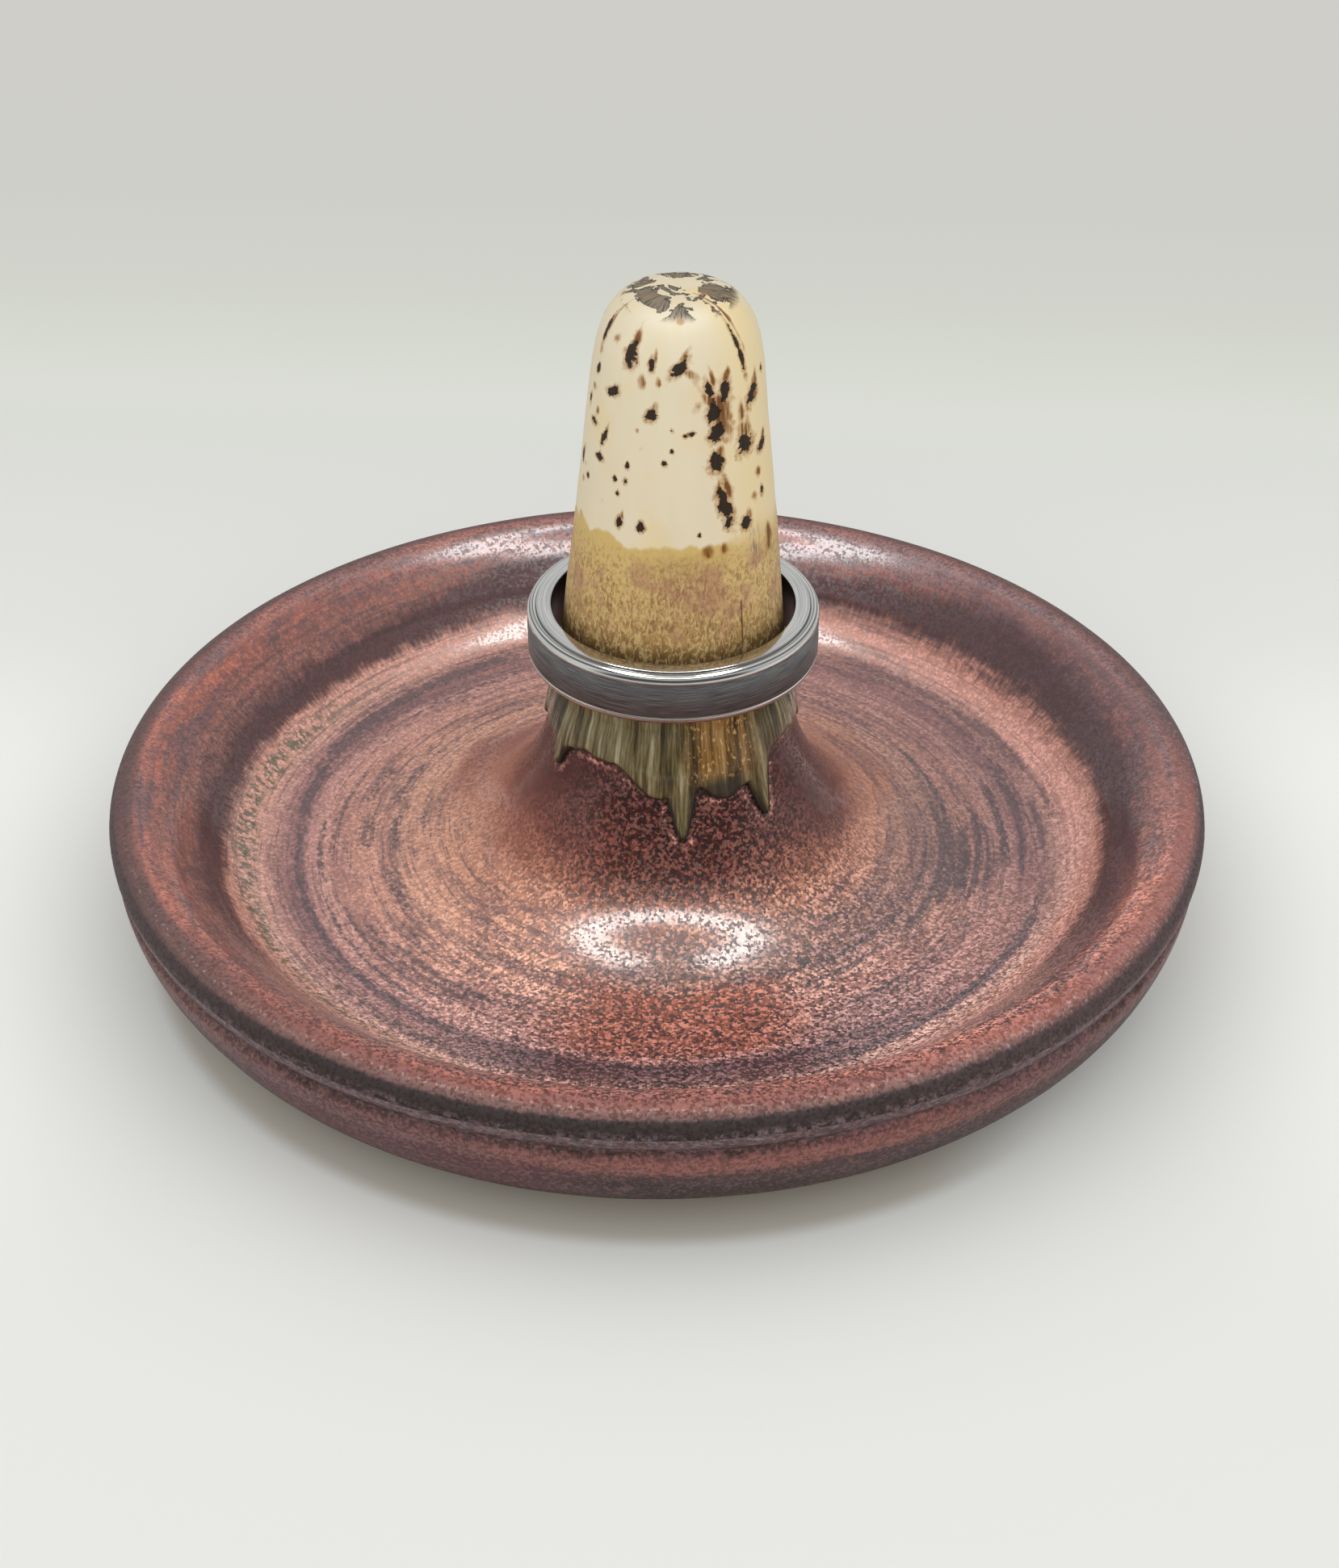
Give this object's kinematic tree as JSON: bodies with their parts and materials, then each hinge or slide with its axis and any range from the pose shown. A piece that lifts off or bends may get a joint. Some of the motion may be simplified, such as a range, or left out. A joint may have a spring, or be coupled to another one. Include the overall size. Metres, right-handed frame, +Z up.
{
  "type": "ring holder",
  "caption": "Round stoneware ring dish with a rolled rim and a tapered central post that rings slide over, with a grooved band ring parked on the post.",
  "frame": {"origin": "centre of the rim, on the surface that the foot ring stands on", "axes": "+Z up along the post; -Y is the side that the picture is taken from, with +X to its right"},
  "size_m": [0.093, 0.093, 0.0571],
  "materials": {
    "red_glaze": "satin iron-red and plum banded glaze",
    "cream_glaze": "glossy cream to amber glaze with brown speckles",
    "olive_glaze": "glossy streaked olive runs",
    "ring_metal": "brushed band with polished grooved edges"
  },
  "bodies": {
    "pot": {"dish": "red_glaze", "post": "cream_glaze", "glaze_runs": "olive_glaze"},
    "band": {"ring": "ring_metal"}
  },
  "joints": [
    {"name": "ring_lift", "type": "slide", "parent": "pot", "child": "band", "axis": [0, 0, 1], "range_m": [0, 0.036]}
  ]
}
